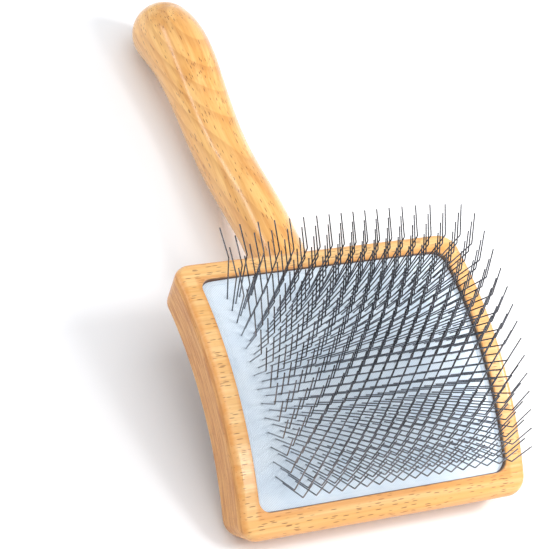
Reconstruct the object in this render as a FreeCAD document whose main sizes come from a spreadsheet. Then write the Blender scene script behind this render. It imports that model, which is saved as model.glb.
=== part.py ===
# Slicker brush: a curved wooden head with a recess, an S-curved wooden handle screwed to the
# back of the head, and a cushioned pad that carries rows of bent steel wire pins.
#
# The brush lies on its back, as it is put down on a table: it rests on the far back edge of
# the head and on the end of the handle. +X is across the head, +Y points towards the end of
# the handle and +Z is up, out of the pins' side. Millimetres.
#
# The pieces are drawn in the head's own frame, whose origin is the axis of the head's arc:
# there z is the radius from that axis, and the head spreads evenly to both sides of z.
# One placement tilts that frame and lowers it onto the table.
import FreeCAD
import Part
import Sketcher
import math
import os
from FreeCAD import Placement, Rotation, Vector

doc = FreeCAD.newDocument("slicker_brush")

# --------------------------------------------------------------------------------------
# Driving dimensions
# --------------------------------------------------------------------------------------
DIMENSIONS = [
    ("head_width", 120.0, "head, side to side"),
    ("face_length", 110.0, "head, along its curved front face"),
    ("face_radius", 130.0, "radius of the front face"),
    ("head_thickness", 17.0, "head, front face to back face"),
    ("corner_radius", 7.5, "outer corners of the head"),
    ("edge_round", 3.0, "rounding along the head's outer edges"),
    ("side_rail", 8.2, "rail left beside the recess"),
    ("near_rail", 9.0, "rail on the handle's side"),
    ("far_rail", 10.0, "rail on the far side"),
    ("recess_depth", 9.0, "depth of the recess"),
    ("recess_corner", 4.8, "corners of the recess"),
    ("mouth_round", 0.5, "rounding around the mouth of the recess"),
    ("rest_tilt", 18.45, "how far the head leans back on the table, degrees"),
    ("arc_drop", 84.19, "depth of the arc's axis under the table"),
    ("arc_shift", -39.709, "place of the arc's axis along the brush"),
    ("pad_gap", 0.8, "room between the moving pad and the recess walls"),
    ("foam_gap", 0.2, "room between the foam and the recess walls"),
    ("face_level", 1.4, "front of the pad, below the head's face"),
    ("face_ply", 1.0, "thickness of the face cloth"),
    ("backing_ply", 0.8, "thickness of the backing cloth"),
    ("crown_level", 3.55, "middle of the staples' crowns, below the head's face"),
    ("foam_level", 4.0, "top of the foam, below the head's face"),
    ("wire_diameter", 0.5, "pin wire"),
    ("leg_lower", 19.5, "pin, from the cloth to its knee"),
    ("leg_upper", 12.2, "pin, from its knee to its tip"),
    ("knee_bend", 1.2, "bend radius at the knee"),
    ("crown_bend", 0.5, "bend radius at the crown"),
    ("lean_back", 14.0, "lean of the lower leg away from the handle, degrees"),
    ("lean_forward", 24.0, "lean of the upper leg towards the handle, degrees"),
    ("edge_fan", 29.0, "extra lean of the first row's lower leg towards the handle, degrees"),
    ("edge_fan_tip", 11.6, "extra lean of the first row's upper leg towards the handle, degrees"),
    ("edge_fan_start", 6.0, "where that extra lean starts, along the face"),
    ("side_lean", 4.0, "lean of the lower leg to one side, degrees"),
    ("side_twist", 9.0, "extra lean to that side in the first row, and less in the last, degrees"),
    ("side_fan", 19.0, "outward lean of the outermost lower legs, degrees"),
    ("tip_lean", -4.0, "lean of the upper leg to the same side, degrees"),
    ("tip_twist", -6.0, "extra lean of the upper leg in the first row, degrees"),
    ("tip_fan", 10.0, "outward lean of the outermost upper legs, degrees"),
    ("pin_pitch", 4.95, "pin to pin along a row"),
    ("row_pitch", 2.7, "row to row"),
    ("first_row", 37.3, "first row, along the face from its middle"),
    ("row_count", 28, "rows of pins"),
    ("row_pins", 18, "pins in each row"),
    ("screw_near", 18.0, "nearer screw, degrees round the arc"),
    ("screw_far", 9.0, "further screw, degrees round the arc"),
    ("screw_length", 20.0, "wood screw"),
    ("screw_diameter", 3.5, "wood screw's shank"),
    ("screw_head", 7.0, "diameter of its countersunk head"),
    ("screw_head_depth", 2.1, "depth of its head"),
    ("screw_hole", 3.9, "clearance hole in the head block"),
    ("screw_sink", 7.9, "countersink in the recess floor"),
    ("screw_sunk", 0.25, "how far the screw's head stays below the recess floor"),
]

# The handle's line, from the foot behind the head to the bulb at its end: name, place along
# the head's frame (y, z) and radius there.
STATIONS = [
    ("foot", 22.0, 103.5, 11.5),
    ("heel", 35.0, 98.0, 12.2),
    ("root", 50.0, 92.0, 11.5),
    ("neck", 66.0, 86.5, 10.9),
    ("throat", 82.0, 80.2, 11.0),
    ("bend", 98.0, 72.4, 11.1),
    ("waist", 113.0, 66.0, 11.1),
    ("grip", 128.0, 61.8, 11.3),
    ("palm", 144.0, 58.6, 11.9),
    ("swell", 160.0, 54.4, 13.0),
    ("bulb", 170.5, 49.2, 13.6),
    ("knob", 178.0, 43.5, 13.4),
]

sheet = doc.addObject("Spreadsheet::Sheet", "Dims")
row = 1
for alias, value, meaning in DIMENSIONS:
    sheet.set(f"A{row}", meaning)
    sheet.set(f"B{row}", str(value))
    sheet.setAlias(f"B{row}", alias)
    row += 1
for station, along, height, radius in STATIONS:
    for suffix, value in (("along", along), ("height", height), ("radius", radius)):
        sheet.set(f"A{row}", f"handle at the {station}, {suffix}")
        sheet.set(f"B{row}", str(value))
        sheet.setAlias(f"B{row}", f"{station}_{suffix}")
        row += 1
doc.recompute()


def dim(alias):
    return float(sheet.get(alias))


HALF_FACE = "Dims.face_length / 2 / Dims.face_radius * 180 / pi"
NEAR_WALL = "(Dims.face_length / 2 - Dims.near_rail) / Dims.face_radius * 180 / pi"
FAR_WALL = "(Dims.face_length / 2 - Dims.far_rail) / Dims.face_radius * 180 / pi"
WALL_TO_WALL = "Dims.head_width - 2 * Dims.side_rail"


def gap_angle(gap):
    return f"Dims.{gap} / Dims.face_radius * 180 / pi"


# --------------------------------------------------------------------------------------
# Helpers
# --------------------------------------------------------------------------------------
def in_head_frame(piece):
    """Tilt the piece and set it down, from the head's frame to the table."""
    piece.Placement = Placement(Vector(0, 0, 0), Rotation(Vector(1, 0, 0), dim("rest_tilt")))
    piece.setExpression("Placement.Rotation.Angle", "Dims.rest_tilt")
    piece.setExpression("Placement.Base.y", "Dims.arc_shift")
    piece.setExpression("Placement.Base.z", "-Dims.arc_drop")


def new_body(label):
    body = doc.addObject("PartDesign::Body", label)
    in_head_frame(body)
    return body


def origin_plane(body, role):
    return next(f for f in body.Origin.OriginFeatures if f.Role == role)


def sketch_on(body, name, role):
    sketch = body.newObject("Sketcher::SketchObject", name)
    sketch.AttachmentSupport = (origin_plane(body, role), [""])
    sketch.MapMode = "FlatFace"
    return sketch


def drive(sketch, constraint, name, expression):
    """Add a constraint, name it and bind it to the sheet."""
    index = sketch.addConstraint(constraint)
    sketch.renameConstraint(index, name)
    sketch.setExpression(f"Constraints.{name}", expression)


def ring_sector(body, name, inner, outer, near, far):
    """Sketch a piece of a ring around the arc's axis. inner and outer are expressions for its
    radii, near and far for its angles from the middle towards and away from the handle."""
    sketch = sketch_on(body, name, "YZ_Plane")
    start = math.radians(70)
    end = math.radians(110)
    for radius in (dim("face_radius"), dim("face_radius") - dim("head_thickness")):
        circle = Part.Circle(Vector(0, 0, 0), Vector(0, 0, 1), radius)
        sketch.addGeometry(Part.ArcOfCircle(circle, start, end), False)
    for angle in (start, end):
        ray = Vector(math.cos(angle), math.sin(angle), 0)
        line = Part.LineSegment(ray * (dim("face_radius") - dim("head_thickness")), ray * dim("face_radius"))
        sketch.addGeometry(line, False)
    outer_arc, inner_arc, near_line, far_line = range(4)
    for arc in (outer_arc, inner_arc):
        sketch.addConstraint(Sketcher.Constraint("Coincident", arc, 3, -1, 1))
    for line, arc_end in ((near_line, 1), (far_line, 2)):
        sketch.addConstraint(Sketcher.Constraint("Coincident", line, 1, inner_arc, arc_end))
        sketch.addConstraint(Sketcher.Constraint("Coincident", line, 2, outer_arc, arc_end))
        sketch.addConstraint(Sketcher.Constraint("PointOnObject", -1, 1, line))
    drive(sketch, Sketcher.Constraint("Radius", outer_arc, dim("face_radius")), "outer", outer)
    inner_start = dim("face_radius") - dim("head_thickness")
    drive(sketch, Sketcher.Constraint("Radius", inner_arc, inner_start), "inner", inner)
    drive(sketch, Sketcher.Constraint("Angle", near_line, start), "near", f"90 - ({near})")
    drive(sketch, Sketcher.Constraint("Angle", far_line, end), "far", f"90 + ({far})")
    return sketch


def across(body, kind, name, sketch, width):
    """Pad or pocket a sketch evenly to both sides of the middle plane."""
    feature = body.newObject(f"PartDesign::{kind}", name)
    feature.Profile = sketch
    feature.SideType = "Symmetric"
    feature.setExpression("Length", width)
    return feature


def axis_distance(point):
    """Distance from the arc's axis, in the head's frame."""
    return math.hypot(point.y, point.z)


def corner_edges(shape, half_width):
    """Names of the straight edges that stand on the face at the four corners."""
    names = []
    for number, edge in enumerate(shape.Edges, 1):
        middle = edge.CenterOfMass
        ends = [axis_distance(v.Point) for v in edge.Vertexes]
        if abs(abs(middle.x) - half_width) < 0.01 and abs(ends[0] - ends[-1]) > 0.5:
            names.append(f"Edge{number}")
    return names


def rim_edges(shape, radius, half_width=None):
    """Names of the edges that lie on the cylinder of the given radius around the arc's axis,
    inside the given half width if there is one."""
    names = []
    for number, edge in enumerate(shape.Edges, 1):
        first, last = edge.ParameterRange
        points = [edge.valueAt(first + (last - first) * k / 4) for k in range(5)]
        on_radius = all(abs(axis_distance(p) - radius) < 0.01 for p in points)
        inside = half_width is None or all(abs(p.x) < half_width + 0.01 for p in points)
        if on_radius and inside:
            names.append(f"Edge{number}")
    return names


def fillet(body, name, base, edges, radius):
    feature = body.newObject("PartDesign::Fillet", name)
    feature.Base = (base, edges)
    feature.setExpression("Radius", radius)
    doc.recompute()
    return feature


# --------------------------------------------------------------------------------------
# Head block: a slab of wood bent round the arc's axis, with the pad's recess in its front
# --------------------------------------------------------------------------------------
def make_head_block():
    body = new_body("head_block")
    outline = ring_sector(
        body, "head_profile", "Dims.face_radius - Dims.head_thickness", "Dims.face_radius", HALF_FACE, HALF_FACE
    )
    blank = across(body, "Pad", "head_blank", outline, "Dims.head_width")
    doc.recompute()
    half_width = dim("head_width") / 2
    corners = corner_edges(blank.Shape, half_width)
    rounded = fillet(body, "head_corners", blank, corners, "Dims.corner_radius")
    face_rims = rim_edges(rounded.Shape, dim("face_radius"))
    back_rims = rim_edges(rounded.Shape, dim("face_radius") - dim("head_thickness"))
    eased = fillet(body, "head_edges", rounded, face_rims + back_rims, "Dims.edge_round")

    cut = ring_sector(
        body, "recess_profile", "Dims.face_radius - Dims.recess_depth", "Dims.face_radius + 5", NEAR_WALL, FAR_WALL
    )
    recess = across(body, "Pocket", "recess", cut, WALL_TO_WALL)
    doc.recompute()
    half_recess = half_width - dim("side_rail")
    recess_corners = corner_edges(recess.Shape, half_recess)
    softened = fillet(body, "recess_corners", recess, recess_corners, "Dims.recess_corner")
    mouth = rim_edges(softened.Shape, dim("face_radius"), half_recess)
    last = fillet(body, "recess_mouth", softened, mouth, "Dims.mouth_round")

    floor = dim("face_radius") - dim("recess_depth")
    for side in ("near", "far"):
        turn = Rotation(Vector(1, 0, 0), -dim(f"screw_{side}"))
        hole = body.newObject("PartDesign::SubtractiveCylinder", f"screw_hole_{side}")
        hole.setExpression("Radius", "Dims.screw_hole / 2")
        hole.Height = dim("head_thickness")
        hole.Placement = Placement(turn.multVec(Vector(0, 0, floor - dim("head_thickness"))), turn)
        sink = body.newObject("PartDesign::SubtractiveCone", f"screw_sink_{side}")
        sink.setExpression("Radius1", "Dims.screw_hole / 2")
        sink.setExpression("Radius2", "Dims.screw_sink / 2")
        sink_depth = dim("screw_head_depth") + dim("screw_sunk")
        sink.setExpression("Height", "Dims.screw_head_depth + Dims.screw_sunk")
        sink.Placement = Placement(turn.multVec(Vector(0, 0, floor - sink_depth)), turn)
        last = sink
    body.Tip = last
    doc.recompute()
    assert recess.Shape.Volume < eased.Shape.Volume
    assert last.Shape.Volume < softened.Shape.Volume
    return body


# --------------------------------------------------------------------------------------
# Handle: a turned and bent grip, saddled onto the hollow back of the head
# --------------------------------------------------------------------------------------
def make_handle():
    body = new_body("handle")
    centres = [Vector(0, dim(f"{s[0]}_along"), dim(f"{s[0]}_height")) for s in STATIONS]
    sketches = []
    for index, (station, *_) in enumerate(STATIONS):
        before = centres[max(index - 1, 0)]
        after = centres[min(index + 1, len(centres) - 1)]
        run = after - before
        sketch = sketch_on(body, f"{station}_section", "XY_Plane")
        facing = Rotation(Vector(1, 0, 0), math.degrees(math.atan2(-run.y, run.z)))
        sketch.AttachmentOffset = Placement(centres[index], facing)
        circle = Part.Circle(Vector(0, 0, 0), Vector(0, 0, 1), dim(f"{station}_radius"))
        sketch.addGeometry(circle, False)
        sketch.addConstraint(Sketcher.Constraint("Coincident", 0, 3, -1, 1))
        radius = Sketcher.Constraint("Radius", 0, dim(f"{station}_radius"))
        drive(sketch, radius, "radius", f"Dims.{station}_radius")
        sketches.append(sketch)
    doc.recompute()
    loft = body.newObject("PartDesign::AdditiveLoft", "grip_loft")
    loft.Profile = sketches[0]
    loft.Sections = sketches[1:]
    doc.recompute()
    for station in ("foot", "knob"):
        end = body.newObject("PartDesign::AdditiveSphere", f"{station}_end")
        end.setExpression("Radius", f"Dims.{station}_radius")
        end.Placement = Placement(Vector(0, dim(f"{station}_along"), dim(f"{station}_height")), Rotation())
        doc.recompute()
    whole = body.Tip.Shape.Volume

    saddle = ring_sector(
        body, "saddle_profile", "Dims.face_radius - Dims.head_thickness", "Dims.face_radius + 5", HALF_FACE, HALF_FACE
    )
    across(body, "Pocket", "saddle", saddle, "Dims.head_width")
    doc.recompute()
    assert body.Tip.Shape.Volume < whole
    back = dim("face_radius") - dim("head_thickness")
    floor = dim("face_radius") - dim("recess_depth")
    depth = dim("screw_length") + dim("screw_sunk") - (floor - back) + 0.5
    for side in ("near", "far"):
        turn = Rotation(Vector(1, 0, 0), -dim(f"screw_{side}"))
        pilot = body.newObject("PartDesign::SubtractiveCylinder", f"pilot_hole_{side}")
        pilot.setExpression("Radius", "Dims.screw_diameter / 2")
        pilot.Height = depth + 1
        pilot.Placement = Placement(turn.multVec(Vector(0, 0, back - depth)), turn)
        doc.recompute()
    return body


# --------------------------------------------------------------------------------------
# Two countersunk wood screws, from the recess floor into the handle
# --------------------------------------------------------------------------------------
def make_handle_screws():
    tip = dim("face_radius") - dim("recess_depth") - dim("screw_sunk") - dim("screw_length")
    slot_width = 0.9
    screws = []
    for side in ("near", "far"):
        shank = doc.addObject("Part::Cylinder", f"shank_{side}")
        shank.setExpression("Radius", "Dims.screw_diameter / 2")
        shank.setExpression("Height", "Dims.screw_length - Dims.screw_head_depth")
        head = doc.addObject("Part::Cone", f"screw_head_{side}")
        head.setExpression("Radius1", "Dims.screw_diameter / 2")
        head.setExpression("Radius2", "Dims.screw_head / 2")
        head.setExpression("Height", "Dims.screw_head_depth")
        head.setExpression("Placement.Base.z", "Dims.screw_length - Dims.screw_head_depth")
        whole = doc.addObject("Part::Fuse", f"screw_{side}")
        whole.Base = shank
        whole.Tool = head
        slots = []
        for name, length, width in (("long", 4.4, slot_width), ("cross", slot_width, 4.4)):
            slot = doc.addObject("Part::Box", f"slot_{name}_{side}")
            slot.Length = length
            slot.Width = width
            slot.Height = 1.2
            slot.Placement = Placement(Vector(-length / 2, -width / 2, dim("screw_length") - 1.1), Rotation())
            slots.append(slot)
        cross = doc.addObject("Part::Fuse", f"cross_{side}")
        cross.Base = slots[0]
        cross.Tool = slots[1]
        screw = doc.addObject("Part::Cut", f"cut_screw_{side}")
        screw.Base = whole
        screw.Tool = cross
        turn = Rotation(Vector(1, 0, 0), -dim(f"screw_{side}"))
        screw.Placement = Placement(turn.multVec(Vector(0, 0, tip)), turn)
        screws.append(screw)
    group = doc.addObject("Part::Compound", "handle_screws")
    group.Links = screws
    in_head_frame(group)
    return group


# --------------------------------------------------------------------------------------
# Layers of the pad: foam, backing cloth and face cloth, all bent to the head's arc
# --------------------------------------------------------------------------------------
def make_layer(label, top, bottom, gap):
    body = new_body(label)
    near = f"{NEAR_WALL} - {gap_angle(gap)}"
    far = f"{FAR_WALL} - {gap_angle(gap)}"
    profile = ring_sector(
        body, f"{label}_profile", f"Dims.face_radius - ({bottom})", f"Dims.face_radius - ({top})", near, far
    )
    width = f"{WALL_TO_WALL} - 2 * Dims.{gap}"
    sheet_pad = across(body, "Pad", f"{label}_sheet", profile, width)
    doc.recompute()
    half_width = dim("head_width") / 2 - dim("side_rail") - dim(gap)
    corners = [
        f"Edge{number}"
        for number, edge in enumerate(sheet_pad.Shape.Edges, 1)
        if edge.Curve.TypeId == "Part::GeomLine"
        and abs(abs(edge.CenterOfMass.x) - half_width) < 0.01
    ]
    fillet(body, f"{label}_corners", sheet_pad, corners, f"Dims.recess_corner - Dims.{gap}")
    return body


# --------------------------------------------------------------------------------------
# Pins: staples of wire, two legs each, set through the cloth in staggered rows
# --------------------------------------------------------------------------------------
def on_face(x, along, level):
    """Point at a depth below the head's face, and the outward and forward directions there."""
    angle = along / dim("face_radius")
    outward = Vector(0, math.sin(angle), math.cos(angle))
    forward = Vector(0, math.cos(angle), -math.sin(angle))
    point = outward * (dim("face_radius") - level)
    point.x = x
    return point, outward, forward


def leg_points(x, along):
    """Crown end, knee and tip of the leg that leaves the cloth at the given place."""
    start, outward, forward = on_face(x, along, dim("face_level"))
    splay = (2 * x / (dim("pin_pitch") * dim("row_pins"))) ** 3
    nearness = along / dim("first_row")
    fan_run = dim("first_row") - dim("edge_fan_start")
    fan = (max(along - dim("edge_fan_start"), 0) / fan_run) ** 1.75
    spread = 1 + 0.6 * nearness - 0.25 * nearness ** 2

    def leg(ahead, aside):
        ahead = math.radians(ahead)
        aside = math.radians(aside)
        upright = outward * math.cos(ahead) + forward * math.sin(ahead)
        return Vector(1, 0, 0) * math.sin(aside) + upright * math.cos(aside)

    lower_aside = dim("side_lean") + dim("side_twist") * nearness + dim("side_fan") * splay * spread
    upper_aside = dim("tip_lean") + dim("tip_twist") * nearness + dim("tip_fan") * splay
    lower = leg(dim("edge_fan") * fan - dim("lean_back"), lower_aside)
    upper = leg(dim("edge_fan_tip") * fan + dim("lean_forward"), upper_aside)
    buried = (dim("crown_level") - dim("face_level")) / lower.dot(outward)
    knee = start + lower * dim("leg_lower")
    return start - lower * buried, knee, knee + upper * dim("leg_upper")


def bent_wire(points, bends):
    """Straight runs through the points, joined by tangent arcs of the given radii."""
    edges = []
    last = points[0]
    for index, bend in enumerate(bends, 1):
        corner = points[index]
        back = (points[index - 1] - corner).normalize()
        ahead = (points[index + 1] - corner).normalize()
        half_turn = (math.pi - back.getAngle(ahead)) / 2
        trim = bend * math.tan(half_turn)
        bisector = (back + ahead).normalize()
        middle = corner + bisector * (bend / math.cos(half_turn) - bend)
        arc_start = corner + back * trim
        arc_end = corner + ahead * trim
        edges.append(Part.LineSegment(last, arc_start).toShape())
        edges.append(Part.Arc(arc_start, middle, arc_end).toShape())
        last = arc_end
    edges.append(Part.LineSegment(last, points[-1]).toShape())
    return Part.Wire(edges)


def make_staple(x, along):
    crown_one, knee_one, tip_one = leg_points(x, along)
    crown_two, knee_two, tip_two = leg_points(x + dim("pin_pitch"), along)
    points = [tip_one, knee_one, crown_one, crown_two, knee_two, tip_two]
    bends = [dim("knee_bend"), dim("crown_bend"), dim("crown_bend"), dim("knee_bend")]
    path = bent_wire(points, bends)
    rim = Part.Circle(tip_one, knee_one - tip_one, dim("wire_diameter") / 2).toShape()
    return path.makePipeShell([Part.Wire(rim)], True, False)


def make_pin_row(number):
    """One row of staples. Every second row is half a pitch further across."""
    along = dim("first_row") - (number - 1) * dim("row_pitch")
    pitch = dim("pin_pitch")
    stagger = -pitch / 4 if number % 2 else pitch / 4
    first = stagger - (dim("row_pins") - 1) / 2 * pitch
    staples = [make_staple(first + 2 * k * pitch, along) for k in range(int(dim("row_pins")) // 2)]
    feature = doc.addObject("Part::Feature", f"pin_row_{number:02d}")
    feature.Shape = Part.Compound(staples)
    in_head_frame(feature)
    return feature


# --------------------------------------------------------------------------------------
# Assembly
# --------------------------------------------------------------------------------------
pieces = [make_head_block(), make_handle(), make_handle_screws()]
pieces.append(make_layer("foam_cushion", "Dims.foam_level", "Dims.recess_depth", "foam_gap"))
backing_top = "Dims.face_level + Dims.face_ply"
pieces.append(make_layer("backing_cloth", backing_top, f"{backing_top} + Dims.backing_ply", "pad_gap"))
pieces.append(make_layer("face_cloth", "Dims.face_level", backing_top, "pad_gap"))
pieces.extend(make_pin_row(number) for number in range(1, int(dim("row_count")) + 1))
doc.recompute()

for thing in doc.Objects:
    assert not {"Invalid", "Error"} & set(thing.State), f"{thing.Name} failed: {thing.State}"
for piece in pieces:
    assert not piece.Shape.isNull() and piece.Shape.isValid(), f"{piece.Label} has no sound shape"

os.makedirs("parts", exist_ok=True)
whole = FreeCAD.BoundBox()
for piece in pieces:
    piece.Shape.exportStep(f"parts/{piece.Label}.step")
    whole.add(piece.Shape.BoundBox)
    box = piece.Shape.optimalBoundingBox()
    print(f"{piece.Label}: {len(piece.Shape.Solids)} solids, {piece.Shape.Volume:.1f} mm3, z from {box.ZMin:.2f}")
print(f"{len(pieces)} pieces in {whole}, middle {whole.Center}")
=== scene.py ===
# Slicker brush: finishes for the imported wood, screws and pins, and a crowned cloth pad on foam.
import math

import bpy
import numpy as np
from mathutils import Matrix, Vector, noise


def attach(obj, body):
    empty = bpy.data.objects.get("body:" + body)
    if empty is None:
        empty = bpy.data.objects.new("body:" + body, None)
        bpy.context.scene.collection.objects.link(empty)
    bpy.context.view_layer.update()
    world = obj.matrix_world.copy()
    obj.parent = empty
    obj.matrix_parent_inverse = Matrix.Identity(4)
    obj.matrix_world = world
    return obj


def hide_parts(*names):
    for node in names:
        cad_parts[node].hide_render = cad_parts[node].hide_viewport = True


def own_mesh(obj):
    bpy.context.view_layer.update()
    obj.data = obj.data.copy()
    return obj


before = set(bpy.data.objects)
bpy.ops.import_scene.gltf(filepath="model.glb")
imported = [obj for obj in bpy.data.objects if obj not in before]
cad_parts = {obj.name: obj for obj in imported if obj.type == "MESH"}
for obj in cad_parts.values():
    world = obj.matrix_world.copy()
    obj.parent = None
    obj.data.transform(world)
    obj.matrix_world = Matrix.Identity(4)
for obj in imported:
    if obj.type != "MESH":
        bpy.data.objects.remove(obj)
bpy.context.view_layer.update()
MM = 0.001
PER_METRE = 1000

# --------------------------------------------------------------------------------------
# The head's own frame, as in the part: the origin is the axis of the head's arc, x is across,
# and a place on the face is given by its distance along the arc and its depth below the face.
# --------------------------------------------------------------------------------------
FACE_RADIUS = 130.0
REST_TILT = math.radians(18.45)
HEAD_AXIS = Vector((0.0, -39.709, -84.19)) * MM
HEAD_HALF_WIDTH = 60.0
FACE_HALF_LENGTH = 55.0
RECESS_HALF_WIDTH = 51.8
RECESS_END = 46.0
PAD_HALF_WIDTH = 51.0
PAD_NEAR = 45.2
PAD_FAR = 44.2
RECESS_DEPTH = 9.0
PIN_PITCH = 4.95
ROW_PITCH = 2.7
FIRST_ROW = 37.3
ROWS = 28
PINS_IN_ROW = 18
EDGE_STATIONS = [0.0, 0.06, 0.16, 0.3, 0.5, 0.75, 1.05, 1.4]
EDGE_BAND = 1.8


def on_head(x, along, depth):
    """Places in the world, in metres, from millimetres across, along and below the head's face."""
    angle = along / FACE_RADIUS
    radius = FACE_RADIUS - depth
    y = radius * np.sin(angle)
    z = radius * np.cos(angle)
    tilted_y = y * math.cos(REST_TILT) - z * math.sin(REST_TILT)
    tilted_z = y * math.sin(REST_TILT) + z * math.cos(REST_TILT)
    places = np.stack([x, tilted_y, tilted_z], axis=-1) * MM
    return places + np.array(HEAD_AXIS)


def pin_roots():
    """Where the pins leave the cloth, as (across, along) in millimetres."""
    roots = []
    for row in range(ROWS):
        stagger = PIN_PITCH / 4 if row % 2 else -PIN_PITCH / 4
        for pin in range(PINS_IN_ROW):
            across = (pin - (PINS_IN_ROW - 1) / 2) * PIN_PITCH + stagger
            roots.append((across, FIRST_ROW - row * ROW_PITCH))
    return np.array(roots)


# --------------------------------------------------------------------------------------
# Pad and foam
# --------------------------------------------------------------------------------------
def spaced(low, high, step):
    """Stations from low to high, closer together at both ends, where the pad's edge rolls over."""
    edge = np.array(EDGE_STATIONS)
    count = round((high - low - 2 * EDGE_BAND) / step) + 1
    inner = np.linspace(low + EDGE_BAND, high - EDGE_BAND, count)
    return np.concatenate([low + edge, inner, high - edge[::-1]])


def link_mesh(name, points, faces, flat):
    """A smooth piece in the scene, with its flat places in millimetres as its cloth map."""
    mesh = bpy.data.meshes.new(name)
    mesh.from_pydata(points.tolist(), [], faces.tolist())
    mesh.polygons.foreach_set("use_smooth", [True] * len(faces))
    cloth_map = mesh.uv_layers.new(name="cloth")
    cloth_map.data.foreach_set("uv", flat[faces.reshape(-1)].reshape(-1))
    mesh.validate()
    mesh.update()
    piece = bpy.data.objects.new(name, mesh)
    bpy.context.collection.objects.link(piece)
    return piece


def slab(name, half_width, near, far, corner, step, top, bottom):
    """A closed sheet with rounded corners, bent to the head. top and bottom give the depth of
    its two sides from the place across, the place along and the distance to the outline."""
    shares = spaced(-half_width, half_width, step) / half_width
    along_line = spaced(-far, near, step)
    inset = np.maximum(np.maximum(along_line - (near - corner), -far + corner - along_line), 0)
    row_width = half_width - corner + np.sqrt(corner ** 2 - inset ** 2)
    across = shares[None, :] * row_width[:, None]
    along = np.repeat(along_line[:, None], len(shares), axis=1)
    sideways = np.maximum(np.abs(across) - (half_width - corner), 0)
    rounded = corner - np.hypot(sideways, np.repeat(inset[:, None], len(shares), axis=1))
    straight = np.minimum(half_width - np.abs(across), np.minimum(near - along, far + along))
    margin = np.where((sideways > 0) & (inset[:, None] > 0), rounded, straight)
    upper = on_head(across, along, top(across, along, margin))
    lower = on_head(across, along, bottom(across, along, margin))
    rows, columns = across.shape
    count = rows * columns
    index = np.arange(count).reshape(rows, columns)
    a, b, c, d = index[:-1, :-1], index[:-1, 1:], index[1:, 1:], index[1:, :-1]
    faces = [np.stack([a, b, c, d], axis=-1).reshape(-1, 4)]
    faces.append(np.stack([d, c, b, a], axis=-1).reshape(-1, 4) + count)
    rim = np.concatenate([index[0, :], index[1:, -1], index[-1, -2::-1], index[-2:0:-1, 0]])
    after = np.roll(rim, -1)
    faces.append(np.stack([rim, rim + count, after + count, after], axis=-1))
    points = np.concatenate([upper.reshape(-1, 3), lower.reshape(-1, 3)])
    flat = np.stack([across.reshape(-1), along.reshape(-1)], axis=-1)
    return link_mesh(name, points, np.concatenate(faces), np.concatenate([flat, flat]))


def crown(across, along):
    """Depth of the pad's front, crowned in the middle."""
    side = (np.abs(across) / PAD_HALF_WIDTH) ** 6
    middle = (PAD_NEAR - PAD_FAR) / 2
    end = (np.abs(along - middle) / (PAD_NEAR - middle)) ** 6
    return 0.95 + 1.5 * side + 0.6 * end - 0.4 * side * end


def pad_front(across, along, margin):
    """The crowned front, rolled over at the edge and drawn in by each pin."""
    roll = 1.1
    reach = 2.4
    inside = np.clip(roll - margin, 0, roll)
    depth = crown(across, along) + 0.55 * (1 - np.sqrt(1 - (inside / roll) ** 2))
    for x, s in pin_roots():
        near = (np.abs(across - x) < reach) & (np.abs(along - s) < reach)
        gap = (across[near] - x) ** 2 + (along[near] - s) ** 2
        depth[near] += 0.20 * np.exp(-gap / 0.9) + 0.16 * np.exp(-gap / 0.12)
    places = zip(across.flat, along.flat)
    ripple = [noise.noise(Vector((x * 0.16, s * 0.16, 3.0))) for x, s in places]
    return depth + 0.16 * np.clip(margin / 5, 0, 1) * np.array(ripple).reshape(across.shape)


def pad_back(across, along, margin):
    """Depth of the pad's hidden side, with its lower edge eased."""
    return 3.2 - 0.15 * np.exp(-margin / 0.3)


def foam_front(across, along, margin):
    """Depth of the foam: ground thinner to the ends, so that it is clear when it is squeezed."""
    roll = 0.8
    inside = np.clip(roll - margin, 0, roll)
    eased = roll * (1 - np.sqrt(1 - (inside / roll) ** 2))
    places = zip(across.flat, along.flat)
    cells = [noise.noise(Vector((x * 0.9, s * 0.9, 7.0))) for x, s in places]
    pores = 0.08 * np.array(cells).reshape(across.shape)
    return 4.0 + 0.9 * (along / 44.0) ** 2 + eased + pores


def foam_back(across, along, margin):
    """Depth of the foam's underside, just clear of the recess floor."""
    return RECESS_DEPTH - 0.05 - 0.3 * np.exp(-margin / 0.4)


def margin_ring(name, half_width, near, far, corner, width):
    """The cloth's glued margin: a thin ring round the recess that laps over the pad's edge."""
    insets = [0.0, 0.15, 0.4, 0.75, 1.2, 1.6, width]
    corners = [(1, near, 0), (-1, near, 90), (-1, -far, 180), (1, -far, 270)]
    rings = []
    for lower in (False, True):
        for inset in insets[::-1] if lower else insets:
            radius = corner - inset
            loop = []
            for side, end, turn in corners:
                centre = (side * (half_width - corner), end - math.copysign(corner, end))
                angles = np.radians(np.linspace(turn, turn + 90, 13))
                arc = np.stack([np.cos(angles), np.sin(angles)], axis=1)
                loop.append(np.array(centre) + radius * arc)
            whole = []
            for first, second in zip(loop, loop[1:] + loop[:1]):
                straight = np.linspace(first[-1], second[0], 62)[1:-1]
                whole.extend([first, straight])
            flat = np.concatenate(whole)
            level = crown(flat[:, 0], flat[:, 1])
            if lower:
                depth = level - 0.04 + 0.9 * max(1 - inset / 0.9, 0) ** 2
            else:
                depth = level - 0.14 - 0.1 * math.exp(-inset / 0.5)
            rings.append((on_head(flat[:, 0], flat[:, 1], depth), flat))
    count = len(rings[0][1])
    faces = []
    for ring in range(len(rings)):
        after = (ring + 1) % len(rings)
        for k in range(count):
            step = (k + 1) % count
            here, there = ring * count, after * count
            faces.append((here + k, here + step, there + step, there + k))
    points = np.concatenate([places for places, _ in rings])
    flat = np.concatenate([ring_flat for _, ring_flat in rings])
    return link_mesh(name, points, np.array(faces), flat)


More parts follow.
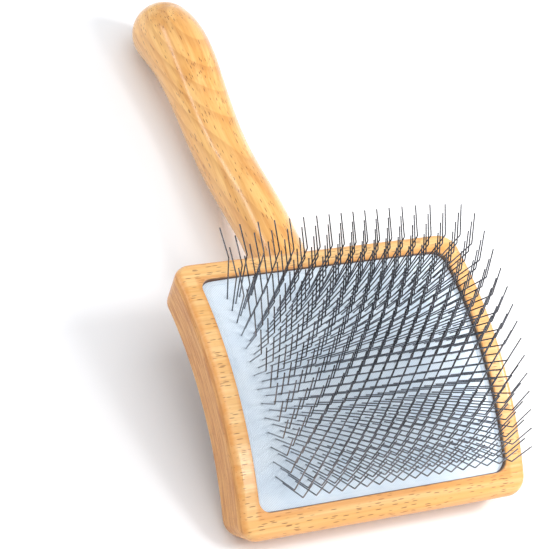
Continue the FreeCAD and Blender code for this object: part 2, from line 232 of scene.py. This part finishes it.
pad = slab(
    "cushion_pad",
    PAD_HALF_WIDTH,
    PAD_NEAR,
    PAD_FAR,
    corner=4.0,
    step=0.42,
    top=pad_front,
    bottom=pad_back,
)
edging = margin_ring("cloth_margin", 51.72, 45.92, 44.92, corner=4.7, width=2.0)
foam = slab("foam_core", 51.5, 45.7, 44.7, corner=4.5, step=1.2, top=foam_front, bottom=foam_back)


# --------------------------------------------------------------------------------------
# Materials
# --------------------------------------------------------------------------------------
def srgb(red, green, blue):
    """A display colour, 0 to 255, as the linear colour that a shader takes."""

    def linear(level):
        share = level / 255
        return share / 12.92 if level <= 10 else ((share + 0.055) / 1.055) ** 2.4

    return linear(red), linear(green), linear(blue), 1.0


class Tree:
    """Builds one material, node by node."""

    def __init__(self, name, **settings):
        self.material = bpy.data.materials.new(name)
        self.material.use_nodes = True
        self.nodes = self.material.node_tree.nodes
        self.links = self.material.node_tree.links
        self.shader = self.nodes["Principled BSDF"]
        for socket, value in settings.items():
            self.shader.inputs[socket.replace("_", " ")].default_value = value

    def put(self, socket, value):
        if isinstance(value, bpy.types.NodeSocket):
            self.links.new(value, socket)
        elif value is not None:
            socket.default_value = value

    def coordinates(self, output, scale, turn=(0, 0, 0)):
        source = self.nodes.new("ShaderNodeTexCoord")
        mapping = self.nodes.new("ShaderNodeMapping")
        mapping.inputs["Scale"].default_value = scale
        mapping.inputs["Rotation"].default_value = turn
        self.links.new(source.outputs[output], mapping.inputs["Vector"])
        return mapping.outputs["Vector"]

    def split(self, vector):
        node = self.nodes.new("ShaderNodeSeparateXYZ")
        self.links.new(vector, node.inputs["Vector"])
        return node.outputs["X"], node.outputs["Y"], node.outputs["Z"]

    def join(self, *parts):
        node = self.nodes.new("ShaderNodeCombineXYZ")
        for socket, part in zip(node.inputs, parts):
            self.put(socket, part)
        return node.outputs["Vector"]

    def noise(self, vector, scale=1.0, detail=3.0, roughness=0.5, distortion=0.0):
        node = self.nodes.new("ShaderNodeTexNoise")
        node.inputs["Scale"].default_value = scale
        node.inputs["Detail"].default_value = detail
        node.inputs["Roughness"].default_value = roughness
        node.inputs["Distortion"].default_value = distortion
        self.links.new(vector, node.inputs["Vector"])
        return node.outputs["Fac"]

    def cells(self, vector):
        """Distance to the nearest of scattered points, and a random number for that point."""
        node = self.nodes.new("ShaderNodeTexVoronoi")
        node.inputs["Scale"].default_value = 1.0
        self.links.new(vector, node.inputs["Vector"])
        split = self.nodes.new("ShaderNodeSeparateColor")
        self.links.new(node.outputs["Color"], split.inputs["Color"])
        return node.outputs["Distance"], split.outputs["Red"]

    def math(self, operation, a, b=None, c=None):
        node = self.nodes.new("ShaderNodeMath")
        node.operation = operation
        for socket, value in zip(node.inputs, (a, b, c)):
            self.put(socket, value)
        return node.outputs["Value"]

    def ramp(self, value, low, high):
        """0 below low and 1 above high, or the other way round if low is more than high."""
        node = self.nodes.new("ShaderNodeMapRange")
        node.interpolation_type = "SMOOTHSTEP"
        node.inputs["From Min"].default_value = min(low, high)
        node.inputs["From Max"].default_value = max(low, high)
        node.inputs["To Min"].default_value = float(low > high)
        node.inputs["To Max"].default_value = float(low <= high)
        self.put(node.inputs["Value"], value)
        return node.outputs["Result"]

    def mix(self, factor, a, b):
        node = self.nodes.new("ShaderNodeMix")
        node.data_type = "RGBA"
        self.put(node.inputs["Factor"], factor)
        self.put(node.inputs[6], a)
        self.put(node.inputs[7], b)
        return node.outputs[2]

    def bump(self, height, distance, strength=1.0):
        node = self.nodes.new("ShaderNodeBump")
        node.inputs["Strength"].default_value = strength
        node.inputs["Distance"].default_value = distance
        self.links.new(height, node.inputs["Height"])
        self.links.new(node.outputs["Normal"], self.shader.inputs["Normal"])

    def set(self, socket, value):
        self.put(self.shader.inputs[socket], value)


DEEP, PORE = 2, 3
END_GRAIN = 53.5


def wood_figure(tree, grain, pale, warm, deep, pore, pore_size, pore_share):
    """Colour, height and fibres of lacquered wood. grain is the axis its fibres run along."""

    def stretched(along, across):
        lengths = [along if axis == grain else across for axis in range(3)]
        return tree.coordinates("Object", [PER_METRE / length for length in lengths])

    fibre = tree.noise(stretched(38.0, 0.75), detail=5.0, roughness=0.62)
    streak = tree.noise(stretched(90.0, 3.2), detail=3.0, distortion=0.6)
    blotch = tree.noise(stretched(26.0, 13.0), detail=2.0)
    colour = tree.mix(tree.ramp(streak, 0.3, 0.72), pale, warm)
    colour = tree.mix(tree.math("MULTIPLY", tree.ramp(fibre, 0.42, 0.78), 0.42), colour, deep)
    colour = tree.mix(tree.math("MULTIPLY", tree.ramp(blotch, 0.5, 0.75), 0.45), colour, warm)
    distance, draw = tree.cells(stretched(*pore_size))
    dash = tree.ramp(distance, 0.34, 0.2)
    kept = tree.ramp(draw, pore_share + 0.02, pore_share - 0.02)
    pores = tree.math("MULTIPLY", tree.math("MULTIPLY", dash, kept), tree.ramp(blotch, 0.2, 0.45))
    colour = tree.mix(tree.math("MULTIPLY", pores, 0.75), colour, pore)
    height = tree.math("SUBTRACT", tree.math("MULTIPLY", fibre, 0.35), pores)
    return colour, height, fibre


def head_wood(figure, end_pale, end_deep, recess_shade, amber):
    """The head's wood: grain across, end grain on its two sides, painted shade in dark brown on the
    recess's walls and floor, and deeper amber along its rounded outer edges and round the recess's
    mouth."""
    tree = Tree("head_wood", Coat_Weight=0.4, Coat_Roughness=0.2, Specular_IOR_Level=0.4)
    colour, height, fibre = wood_figure(tree, 0, *figure)
    x, y, z = tree.split(tree.coordinates("Object", (PER_METRE,) * 3))
    y = tree.math("SUBTRACT", y, HEAD_AXIS.y / MM)
    z = tree.math("SUBTRACT", z, HEAD_AXIS.z / MM)
    squares = tree.math("ADD", tree.math("MULTIPLY", y, y), tree.math("MULTIPLY", z, z))
    radius = tree.math("SQRT", squares)
    angle = tree.math("ADD", tree.math("ARCTAN2", y, z), REST_TILT)
    along = tree.math("ABSOLUTE", tree.math("MULTIPLY", angle, FACE_RADIUS))
    aside = tree.math("ABSOLUTE", x)

    geometry = tree.nodes.new("ShaderNodeNewGeometry")
    facing = tree.math("ABSOLUTE", tree.split(geometry.outputs["Normal"])[0])
    bands = tree.join(tree.math("MULTIPLY", radius, 1.1), tree.math("MULTIPLY", along, 0.07), x)
    rings = tree.noise(bands, detail=4.0, distortion=0.3)
    grains = tree.join(tree.math("MULTIPLY", radius, 3.0), tree.math("MULTIPLY", along, 0.6), x)
    grit = tree.noise(grains, detail=3.0)
    end_colour = tree.mix(tree.ramp(rings, 0.35, 0.65), end_pale, end_deep)
    specks = tree.math("MULTIPLY", tree.ramp(grit, 0.56, 0.72), 0.45)
    end_colour = tree.mix(specks, end_colour, figure[PORE])
    outermost = tree.ramp(aside, END_GRAIN - 0.5, END_GRAIN + 0.5)
    on_end = tree.math("MULTIPLY", tree.ramp(facing, 0.55, 0.9), outermost)
    colour = tree.mix(on_end, colour, end_colour)

    # Deeper amber along the rounded outer edges and round the recess's mouth, kept off the two
    # end-grain sides.
    outer = tree.math(
        "MAXIMUM",
        tree.ramp(aside, HEAD_HALF_WIDTH - 3.4, HEAD_HALF_WIDTH - 1.2),
        tree.ramp(along, FACE_HALF_LENGTH - 3.4, FACE_HALF_LENGTH - 1.0),
    )
    mouth = tree.math(
        "MULTIPLY",
        tree.ramp(aside, RECESS_HALF_WIDTH + 2.0, RECESS_HALF_WIDTH + 0.4),
        tree.ramp(along, RECESS_END + 2.0, RECESS_END + 0.4),
    )
    rounded_edge_band = tree.math("MULTIPLY", tree.math("MAXIMUM", outer, mouth), tree.ramp(facing, 0.9, 0.6))
    colour = tree.mix(tree.math("MULTIPLY", rounded_edge_band, 0.55), colour, amber)

    # Painted shade: the recess's walls and floor are darkened to deep brown where shadow falls.
    depth = tree.ramp(radius, FACE_RADIUS - 0.2, FACE_RADIUS - 0.9)
    inside = tree.math(
        "MULTIPLY",
        tree.ramp(aside, RECESS_HALF_WIDTH + 0.4, RECESS_HALF_WIDTH + 0.2),
        tree.ramp(along, RECESS_END + 1.5, RECESS_END + 1.2),
    )
    painted_recess_shade = tree.math("MULTIPLY", tree.math("MULTIPLY", depth, inside), 0.9)
    colour = tree.mix(painted_recess_shade, colour, recess_shade)
    tree.set("Base Color", colour)
    tree.set("Roughness", tree.math("ADD", tree.math("MULTIPLY", fibre, 0.16), 0.36))
    tree.bump(height, 0.00008, 0.6)
    return tree.material


def handle_wood(figure):
    """The handle's wood: grain lengthwise, with flat-sawn growth rings showing as arches."""
    tree = Tree("handle_wood", Coat_Weight=0.8, Coat_Roughness=0.18, Specular_IOR_Level=0.35)
    colour, height, fibre = wood_figure(tree, 1, *figure)
    x, y, z = tree.split(tree.coordinates("Object", (PER_METRE,) * 3))
    wander = tree.noise(tree.coordinates("Object", (18, 9, 18)), detail=2.0)
    across = tree.math("ADD", tree.math("MULTIPLY", x, 0.9), tree.math("MULTIPLY", wander, 9.0))
    rise = tree.math("ADD", tree.math("MULTIPLY", z, 0.8), tree.math("MULTIPLY", y, 0.16))
    squares = tree.math(
        "ADD", tree.math("MULTIPLY", across, across), tree.math("MULTIPLY", rise, rise)
    )
    ring = tree.math("FRACT", tree.math("DIVIDE", tree.math("SQRT", squares), 3.4))
    late = tree.math("MULTIPLY", tree.ramp(ring, 0.45, 0.95), tree.ramp(ring, 1.0, 0.94))
    colour = tree.mix(tree.math("MULTIPLY", late, 0.3), colour, figure[DEEP])
    tree.set("Base Color", colour)
    tree.set("Roughness", tree.math("ADD", tree.math("MULTIPLY", fibre, 0.14), 0.3))
    tree.bump(height, 0.00008, 0.6)
    return tree.material


def cloth():
    """Pale blue cotton twill: diagonal ribs of yarn, with a little slub and fading."""
    tree = Tree(
        "pad_cloth", Roughness=0.9, Sheen_Weight=0.25, Sheen_Roughness=0.5, Specular_IOR_Level=0.2
    )
    turned = tree.coordinates("UV", (1.5, 1.5, 1.0), (0, 0, math.radians(52)))
    over, under, _ = tree.split(turned)
    rib = tree.math("SINE", tree.math("MULTIPLY", over, 2 * math.pi))
    yarn = tree.math("SINE", tree.math("MULTIPLY", under, 3.3 * math.pi))
    weave = tree.math("ADD", tree.math("MULTIPLY", rib, 0.36), tree.math("MULTIPLY", yarn, 0.14))
    weave = tree.math("ADD", weave, 0.5)
    fading = tree.noise(tree.coordinates("UV", (0.07, 0.07, 1.0)), detail=3.0)
    slub = tree.noise(tree.coordinates("UV", (1.6, 1.6, 1.0)), detail=2.0)
    colour = tree.mix(tree.ramp(fading, 0.35, 0.68), srgb(234, 244, 252), srgb(222, 235, 247))
    shade = tree.math("MULTIPLY", tree.ramp(weave, 0.75, 0.1), 0.42)
    colour = tree.mix(shade, colour, srgb(190, 206, 226))
    slubs = tree.math("MULTIPLY", tree.ramp(slub, 0.62, 0.8), 0.25)
    colour = tree.mix(slubs, colour, srgb(236, 243, 250))
    tree.set("Base Color", colour)
    tree.bump(tree.math("ADD", weave, tree.math("MULTIPLY", slub, 0.3)), 0.00009, 0.7)
    return tree.material


def foam_rubber():
    """Grey open-cell foam."""
    tree = Tree("foam_rubber", Roughness=0.95, Specular_IOR_Level=0.15)
    distance, draw = tree.cells(tree.coordinates("Object", (1400, 1400, 1400)))
    colour = tree.mix(tree.ramp(distance, 0.2, 0.55), srgb(120, 122, 126), srgb(176, 178, 182))
    colour = tree.mix(tree.math("MULTIPLY", draw, 0.25), colour, srgb(150, 150, 150))
    tree.set("Base Color", colour)
    tree.bump(distance, 0.0003, 0.8)
    return tree.material


def steel(name, base, roughness, along, variation):
    """Drawn or turned steel with fine lines; along is their frequency on each axis. Its colour goes
    lighter and darker in patches of painted reflection, and variation is how much lighter its
    lightest places are."""
    tree = Tree(name, Metallic=1.0, Roughness=roughness)
    # Painted reflection: lighter and darker patches stand in for the surroundings reflected in the
    # steel.
    painted_reflection = tree.noise(tree.coordinates("Object", (160, 160, 160)), detail=3.0)
    lines = tree.noise(tree.coordinates("Object", along), detail=4.0)
    lighter = tuple(min(c * variation, 1.0) for c in base[:3]) + (1.0,)
    colour = tree.mix(tree.ramp(painted_reflection, 0.3, 0.7), base, lighter)
    tree.set("Base Color", colour)
    rough = tree.math("ADD", tree.math("MULTIPLY", lines, 0.22), roughness - 0.1)
    tree.set("Roughness", rough)
    tree.bump(lines, 0.00002, 0.4)
    return tree.material


# Pale, warm, deep and pore colours, the pores' length and width, and the share that show.
HEAD_FIGURE = (
    srgb(240, 197, 134), srgb(228, 170, 96), srgb(190, 120, 56), srgb(120, 68, 34), (4.8, 0.62), 0.6
)
HANDLE_FIGURE = (
    srgb(242, 190, 114), srgb(222, 158, 78), srgb(170, 102, 42), srgb(120, 68, 30), (5.0, 0.62), 0.36
)
HEAD_WOOD = head_wood(
    HEAD_FIGURE,
    end_pale=srgb(214, 156, 88),
    end_deep=srgb(188, 122, 60),
    # Dark brown of the painted shade on the recess's walls and floor.
    recess_shade=srgb(78, 42, 22),
    amber=srgb(216, 138, 62),
)
HANDLE_WOOD = handle_wood(HANDLE_FIGURE)
# The last number sets how much lighter the patches of painted reflection on the pins and screws go.
PIN_STEEL = steel("pin_steel", srgb(84, 84, 88), 0.24, (900, 900, 900), 2.6)
SCREW_STEEL = steel("screw_steel", srgb(176, 178, 180), 0.3, (1500, 1500, 300), 1.5)


def finish(node, material):
    """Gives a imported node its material."""
    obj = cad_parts[node]
    for slot in obj.material_slots:
        slot.material = material


finish("head_block", HEAD_WOOD)
finish("handle", HANDLE_WOOD)
finish("handle_screws", SCREW_STEEL)
for number in range(1, ROWS + 1):
    finish(f"pin_row_{number:02d}", PIN_STEEL)
CLOTH = cloth()
pad.data.materials.append(CLOTH)
edging.data.materials.append(CLOTH)
foam.data.materials.append(foam_rubber())

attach(pad, "pin_pad")
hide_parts("face_cloth", "backing_cloth")
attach(edging, "handle_frame")
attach(foam, "handle_frame")
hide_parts("foam_cushion")
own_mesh(foam)

# --------------------------------------------------------------------------------------
# Table, light and camera
# --------------------------------------------------------------------------------------
TABLE_SIZE = 6.0
signs = ((-1, -1), (1, -1), (1, 1), (-1, 1))
corners = [(x * TABLE_SIZE / 2, y * TABLE_SIZE / 2, 0.0) for x, y in signs]
table_mesh = bpy.data.meshes.new("table")
table_mesh.from_pydata(corners, [], [(0, 1, 2, 3)])
table = bpy.data.objects.new("table", table_mesh)
bpy.context.collection.objects.link(table)
table_tree = Tree("table_paper", Roughness=0.8, Specular_IOR_Level=0.2)
paper = table_tree.noise(table_tree.coordinates("Object", (3, 3, 3)), detail=2.0)
table_tree.set("Base Color", table_tree.mix(paper, srgb(244, 244, 246), srgb(241, 242, 244)))
table_mesh.materials.append(table_tree.material)

world = bpy.data.worlds.new("studio")
world.use_nodes = True
world.node_tree.nodes["Background"].inputs["Color"].default_value = (0.94, 0.97, 1.0, 1.0)
world.node_tree.nodes["Background"].inputs["Strength"].default_value = 0.63
bpy.context.scene.world = world
bpy.context.scene.view_settings.view_transform = "Standard"


def area_light(name, target, direction, distance, size, power):
    """A soft rectangular light that looks at the target from the given direction."""
    light = bpy.data.lights.new(name, "AREA")
    light.shape = "RECTANGLE"
    light.size, light.size_y = size
    light.energy = power
    lamp = bpy.data.objects.new(name, light)
    away = Vector(direction).normalized()
    lamp.location = Vector(target) + away * distance
    lamp.rotation_euler = away.to_track_quat("Z", "Y").to_euler()
    bpy.context.collection.objects.link(lamp)


HEAD_MIDDLE = (0.0, -0.08, 0.03)
BRUSH_MIDDLE = (0.0, -0.02, 0.03)
area_light("key", HEAD_MIDDLE, (0.74, -0.16, 0.60), 0.62, (0.14, 0.14), 2.5)
area_light("gloss", HEAD_MIDDLE, (0.34, -0.53, 0.78), 0.57, (0.12, 0.12), 1.0)
area_light("top", BRUSH_MIDDLE, (0.0, -0.1, 1.0), 1.4, (1.2, 1.2), 7.5)
area_light("strip", BRUSH_MIDDLE, (-0.82, 0.52, 0.50), 1.0, (1.1, 0.1), 2.6)

CAMERA_PLACE = Vector((-415.1, -490.8, 674.3)) * MM
CAMERA_AZIMUTH = math.radians(-40.7)
CAMERA_ELEVATION = math.radians(46.4)
CAMERA_ROLL = math.radians(24.8)
camera_data = bpy.data.cameras.new("camera")
camera_data.sensor_fit = "HORIZONTAL"
camera_data.sensor_width = 36.0
camera_data.lens = 159.4
camera_data.clip_start = 0.05
camera = bpy.data.objects.new("camera", camera_data)
bpy.context.collection.objects.link(camera)
camera.matrix_world = (
    Matrix.Translation(CAMERA_PLACE)
    @ Matrix.Rotation(CAMERA_AZIMUTH, 4, "Z")
    @ Matrix.Rotation(math.pi / 2 - CAMERA_ELEVATION, 4, "X")
    @ Matrix.Rotation(CAMERA_ROLL, 4, "Z")
)
bpy.context.scene.camera = camera
